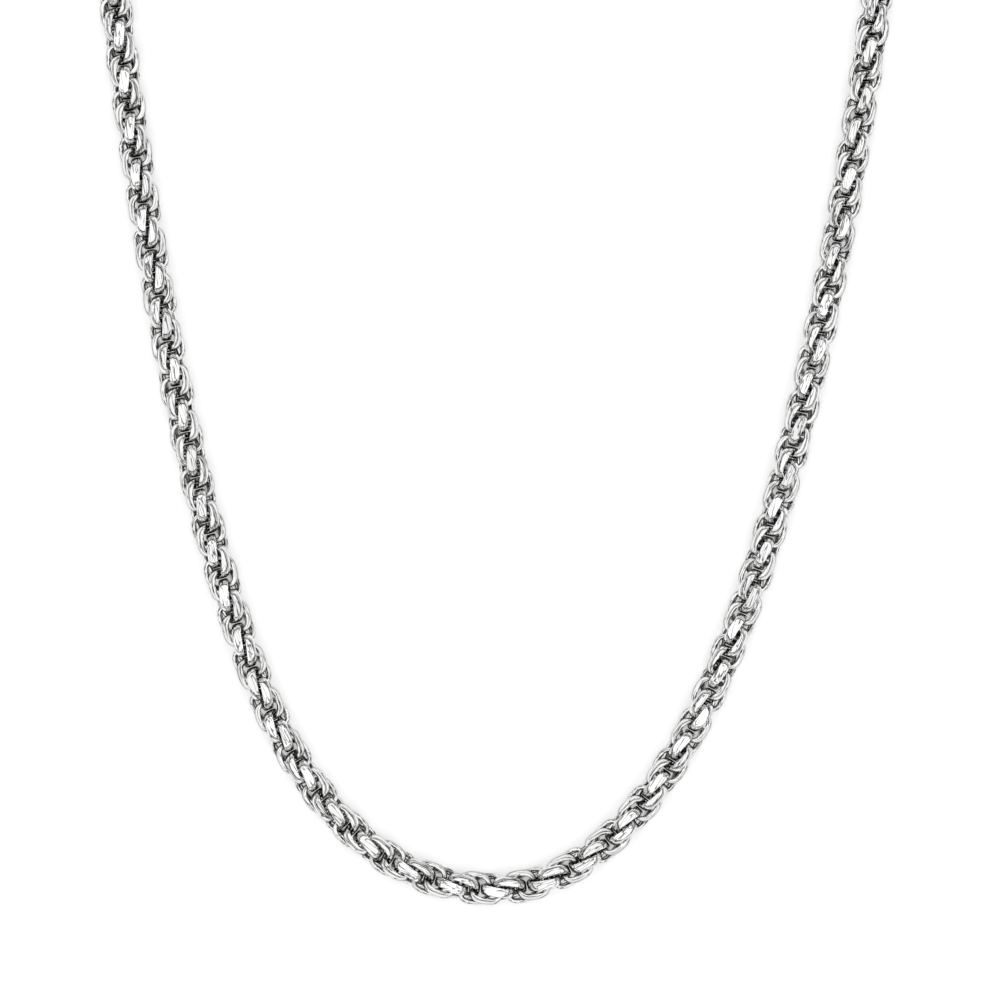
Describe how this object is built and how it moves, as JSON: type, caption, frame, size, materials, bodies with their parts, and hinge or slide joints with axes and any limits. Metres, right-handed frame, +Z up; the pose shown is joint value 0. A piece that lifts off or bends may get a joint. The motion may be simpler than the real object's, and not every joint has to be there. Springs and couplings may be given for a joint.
{
  "type": "rope chain necklace",
  "caption": "Polished silver rope chain necklace: interlinked C-shaped links wound as a left-handed rope, with end caps and a sprung lobster clasp, laid open in a U.",
  "frame": {"origin": "on the surface the necklace lies on, below the middle of the layout's bounding box", "axes": "+Y from the front of the necklace towards the clasp, +X to the wearer's left as it lies face up, +Z up from the surface"},
  "size_m": [0.111, 0.2447, 0.006],
  "materials": {
    "rope_silver": "polished sterling silver with diamond-cut facets",
    "cap_silver": "polished sterling silver",
    "ring_silver": "polished sterling silver wire",
    "clasp_silver": "polished sterling silver, cast",
    "lever_silver": "polished sterling silver, cast",
    "pin_silver": "sterling silver wire, filed flush",
    "spring_steel": "stainless spring wire"
  },
  "bodies": {
    "chain_front": {"chain_front": "rope_silver"},
    "chain_left_01": {"chain_left_01": "rope_silver"},
    "chain_left_02": {"chain_left_02": "rope_silver"},
    "chain_left_03": {"chain_left_03": "rope_silver"},
    "chain_left_04": {"chain_left_04": "rope_silver"},
    "chain_left_05": {"chain_left_05": "rope_silver"},
    "chain_left_06": {"chain_left_06": "rope_silver"},
    "chain_left_07": {"chain_left_07": "rope_silver"},
    "chain_left_08": {"chain_left_08": "rope_silver"},
    "chain_left_09": {"chain_left_09": "rope_silver"},
    "chain_left_10": {"chain_left_10": "rope_silver"},
    "chain_left_11": {"chain_left_11": "rope_silver"},
    "chain_left_12": {"chain_left_12": "rope_silver"},
    "chain_left_13": {"chain_left_13": "rope_silver"},
    "chain_left_14": {"chain_left_14": "rope_silver"},
    "chain_left_15": {"chain_left_15": "rope_silver"},
    "chain_left_16": {"chain_left_16": "rope_silver"},
    "chain_left_17": {"chain_left_17": "rope_silver"},
    "chain_left_18": {"chain_left_18": "rope_silver"},
    "chain_left_19": {"chain_left_19": "rope_silver", "end_cap_left": "cap_silver"},
    "chain_right_01": {"chain_right_01": "rope_silver"},
    "chain_right_02": {"chain_right_02": "rope_silver"},
    "chain_right_03": {"chain_right_03": "rope_silver"},
    "chain_right_04": {"chain_right_04": "rope_silver"},
    "chain_right_05": {"chain_right_05": "rope_silver"},
    "chain_right_06": {"chain_right_06": "rope_silver"},
    "chain_right_07": {"chain_right_07": "rope_silver"},
    "chain_right_08": {"chain_right_08": "rope_silver"},
    "chain_right_09": {"chain_right_09": "rope_silver"},
    "chain_right_10": {"chain_right_10": "rope_silver"},
    "chain_right_11": {"chain_right_11": "rope_silver"},
    "chain_right_12": {"chain_right_12": "rope_silver"},
    "chain_right_13": {"chain_right_13": "rope_silver"},
    "chain_right_14": {"chain_right_14": "rope_silver"},
    "chain_right_15": {"chain_right_15": "rope_silver"},
    "chain_right_16": {"chain_right_16": "rope_silver"},
    "chain_right_17": {"chain_right_17": "rope_silver"},
    "chain_right_18": {"chain_right_18": "rope_silver"},
    "chain_right_19": {"chain_right_19": "rope_silver", "end_cap_right": "cap_silver"},
    "jump_ring": {"jump_ring": "ring_silver"},
    "clasp": {"clasp_body": "clasp_silver", "clasp_pin": "pin_silver", "clasp_spring": "spring_steel"},
    "clasp_lever": {"clasp_lever": "lever_silver"},
    "end_ring": {"end_ring": "ring_silver"}
  },
  "joints": [
    {"name": "left_sway_01", "type": "hinge", "parent": "chain_front", "child": "chain_left_01", "pos_m": [-0.00693, -0.11959, 0.00204], "axis": [0, 0, -1], "range_deg": [-12, 8]},
    {"name": "left_lift_02", "type": "hinge", "parent": "chain_left_01", "child": "chain_left_02", "pos_m": [-0.01786, -0.11395, 0.00204], "axis": [0.6362, 0.7715, 0], "range_deg": [-3, 10]},
    {"name": "left_sway_03", "type": "hinge", "parent": "chain_left_02", "child": "chain_left_03", "pos_m": [-0.02599, -0.10464, 0.00204], "axis": [0, 0, 1], "range_deg": [-8, 12]},
    {"name": "left_lift_04", "type": "hinge", "parent": "chain_left_03", "child": "chain_left_04", "pos_m": [-0.03169, -0.09365, 0.00204], "axis": [-0.924, -0.3825, 0], "range_deg": [-10, 10]},
    {"name": "left_sway_05", "type": "hinge", "parent": "chain_left_04", "child": "chain_left_05", "pos_m": [-0.03581, -0.08196, 0.00204], "axis": [0, 0, -1], "range_deg": [-10, 10]},
    {"name": "left_lift_06", "type": "hinge", "parent": "chain_left_05", "child": "chain_left_06", "pos_m": [-0.03915, -0.07002, 0.00204], "axis": [0.9693, 0.2459, 0], "range_deg": [-10, 10]},
    {"name": "left_sway_07", "type": "hinge", "parent": "chain_left_06", "child": "chain_left_07", "pos_m": [-0.04196, -0.05794, 0.00204], "axis": [0, 0, 1], "range_deg": [-10, 10]},
    {"name": "left_lift_08", "type": "hinge", "parent": "chain_left_07", "child": "chain_left_08", "pos_m": [-0.04439, -0.04578, 0.00204], "axis": [-0.9831, -0.1829, 0], "range_deg": [-10, 10]},
    {"name": "left_sway_09", "type": "hinge", "parent": "chain_left_08", "child": "chain_left_09", "pos_m": [-0.04652, -0.03357, 0.00204], "axis": [0, 0, -1], "range_deg": [-10, 10]},
    {"name": "left_lift_10", "type": "hinge", "parent": "chain_left_09", "child": "chain_left_10", "pos_m": [-0.04843, -0.02132, 0.00204], "axis": [0.9894, 0.1453, 0], "range_deg": [-10, 10]},
    {"name": "left_sway_11", "type": "hinge", "parent": "chain_left_10", "child": "chain_left_11", "pos_m": [-0.05014, -0.00904, 0.00204], "axis": [0, 0, 1], "range_deg": [-10, 10]},
    {"name": "left_lift_12", "type": "hinge", "parent": "chain_left_11", "child": "chain_left_12", "pos_m": [-0.05169, 0.00327, 0.00204], "axis": [-0.9936, -0.1129, 0], "range_deg": [-10, 10]},
    {"name": "left_sway_13", "type": "hinge", "parent": "chain_left_12", "child": "chain_left_13", "pos_m": [-0.05281, 0.01562, 0.00204], "axis": [0, 0, -1], "range_deg": [-10, 10]},
    {"name": "left_lift_14", "type": "hinge", "parent": "chain_left_13", "child": "chain_left_14", "pos_m": [-0.05337, 0.028, 0.00204], "axis": [0.9997, 0.0231, 0], "range_deg": [-10, 10]},
    {"name": "left_sway_15", "type": "hinge", "parent": "chain_left_14", "child": "chain_left_15", "pos_m": [-0.05339, 0.0404, 0.00204], "axis": [0, 0, 1], "range_deg": [-10, 10]},
    {"name": "left_lift_16", "type": "hinge", "parent": "chain_left_15", "child": "chain_left_16", "pos_m": [-0.05287, 0.05279, 0.00204], "axis": [-0.9981, 0.0624, 0], "range_deg": [-10, 10]},
    {"name": "left_sway_17", "type": "hinge", "parent": "chain_left_16", "child": "chain_left_17", "pos_m": [-0.05184, 0.06514, 0.00204], "axis": [0, 0, -1], "range_deg": [-10, 10]},
    {"name": "left_lift_18", "type": "hinge", "parent": "chain_left_17", "child": "chain_left_18", "pos_m": [-0.0503, 0.07745, 0.00208], "axis": [0.9895, -0.1444, 0], "range_deg": [-10, 10]},
    {"name": "left_sway_19", "type": "hinge", "parent": "chain_left_18", "child": "chain_left_19", "pos_m": [-0.04826, 0.08968, 0.00233], "axis": [0, 0, 1], "range_deg": [-10, 10]},
    {"name": "right_sway_01", "type": "hinge", "parent": "chain_front", "child": "chain_right_01", "pos_m": [0.00532, -0.11948, 0.00204], "axis": [0, 0, 1], "range_deg": [-12, 8]},
    {"name": "right_lift_02", "type": "hinge", "parent": "chain_right_01", "child": "chain_right_02", "pos_m": [0.01574, -0.11296, 0.00204], "axis": [0.6939, -0.72, 0], "range_deg": [-3, 10]},
    {"name": "right_sway_03", "type": "hinge", "parent": "chain_right_02", "child": "chain_right_03", "pos_m": [0.02339, -0.10324, 0.00204], "axis": [0, 0, -1], "range_deg": [-8, 12]},
    {"name": "right_lift_04", "type": "hinge", "parent": "chain_right_03", "child": "chain_right_04", "pos_m": [0.02913, -0.09226, 0.00204], "axis": [-0.9137, 0.4063, 0], "range_deg": [-10, 10]},
    {"name": "right_sway_05", "type": "hinge", "parent": "chain_right_04", "child": "chain_right_05", "pos_m": [0.03365, -0.08072, 0.00204], "axis": [0, 0, 1], "range_deg": [-10, 10]},
    {"name": "right_lift_06", "type": "hinge", "parent": "chain_right_05", "child": "chain_right_06", "pos_m": [0.03734, -0.06888, 0.00204], "axis": [0.9622, -0.2723, 0], "range_deg": [-10, 10]},
    {"name": "right_sway_07", "type": "hinge", "parent": "chain_right_06", "child": "chain_right_07", "pos_m": [0.04046, -0.05688, 0.00204], "axis": [0, 0, -1], "range_deg": [-10, 10]},
    {"name": "right_lift_08", "type": "hinge", "parent": "chain_right_07", "child": "chain_right_08", "pos_m": [0.04316, -0.04478, 0.00204], "axis": [-0.9791, 0.2032, 0], "range_deg": [-10, 10]},
    {"name": "right_sway_09", "type": "hinge", "parent": "chain_right_08", "child": "chain_right_09", "pos_m": [0.04553, -0.03261, 0.00204], "axis": [0, 0, 1], "range_deg": [-10, 10]},
    {"name": "right_lift_10", "type": "hinge", "parent": "chain_right_09", "child": "chain_right_10", "pos_m": [0.04764, -0.02039, 0.00204], "axis": [0.9868, -0.1617, 0], "range_deg": [-10, 10]},
    {"name": "right_sway_11", "type": "hinge", "parent": "chain_right_10", "child": "chain_right_11", "pos_m": [0.04955, -0.00814, 0.00204], "axis": [0, 0, -1], "range_deg": [-10, 10]},
    {"name": "right_lift_12", "type": "hinge", "parent": "chain_right_11", "child": "chain_right_12", "pos_m": [0.05128, 0.00414, 0.00204], "axis": [-0.992, 0.1266, 0], "range_deg": [-10, 10]},
    {"name": "right_sway_13", "type": "hinge", "parent": "chain_right_12", "child": "chain_right_13", "pos_m": [0.05256, 0.01647, 0.00204], "axis": [0, 0, 1], "range_deg": [-10, 10]},
    {"name": "right_lift_14", "type": "hinge", "parent": "chain_right_13", "child": "chain_right_14", "pos_m": [0.05327, 0.02885, 0.00204], "axis": [0.9994, -0.0349, 0], "range_deg": [-10, 10]},
    {"name": "right_sway_15", "type": "hinge", "parent": "chain_right_14", "child": "chain_right_15", "pos_m": [0.05343, 0.04125, 0.00204], "axis": [0, 0, -1], "range_deg": [-10, 10]},
    {"name": "right_lift_16", "type": "hinge", "parent": "chain_right_15", "child": "chain_right_16", "pos_m": [0.05305, 0.05364, 0.00204], "axis": [-0.9986, -0.0521, 0], "range_deg": [-10, 10]},
    {"name": "right_sway_17", "type": "hinge", "parent": "chain_right_16", "child": "chain_right_17", "pos_m": [0.05214, 0.06601, 0.00204], "axis": [0, 0, 1], "range_deg": [-10, 10]},
    {"name": "right_lift_18", "type": "hinge", "parent": "chain_right_17", "child": "chain_right_18", "pos_m": [0.05072, 0.07833, 0.00208], "axis": [0.9908, 0.1353, 0], "range_deg": [-10, 10]},
    {"name": "right_sway_19", "type": "hinge", "parent": "chain_right_18", "child": "chain_right_19", "pos_m": [0.04879, 0.09058, 0.00233], "axis": [0, 0, -1], "range_deg": [-10, 10]},
    {"name": "jump_ring_swing", "type": "hinge", "parent": "chain_left_19", "child": "jump_ring", "pos_m": [-0.04496, 0.10574, 0.0025], "axis": [0, 0, 1], "range_deg": [-60, 60]},
    {"name": "clasp_swing", "type": "hinge", "parent": "jump_ring", "child": "clasp", "pos_m": [-0.04407, 0.10998, 0.002], "axis": [0, 0, 1], "range_deg": [-60, 60]},
    {"name": "lever_open", "type": "hinge", "parent": "clasp", "child": "clasp_lever", "pos_m": [-0.04232, 0.1139, 0.002], "axis": [0, 0, 1], "range_deg": [0, 25], "stiffness_Nm_per_rad": 0.002, "springref_deg": -17.19},
    {"name": "end_ring_swing", "type": "hinge", "parent": "chain_right_19", "child": "end_ring", "pos_m": [0.04562, 0.10667, 0.0025], "axis": [0, 0, 1], "range_deg": [-75, 75]}
  ]
}
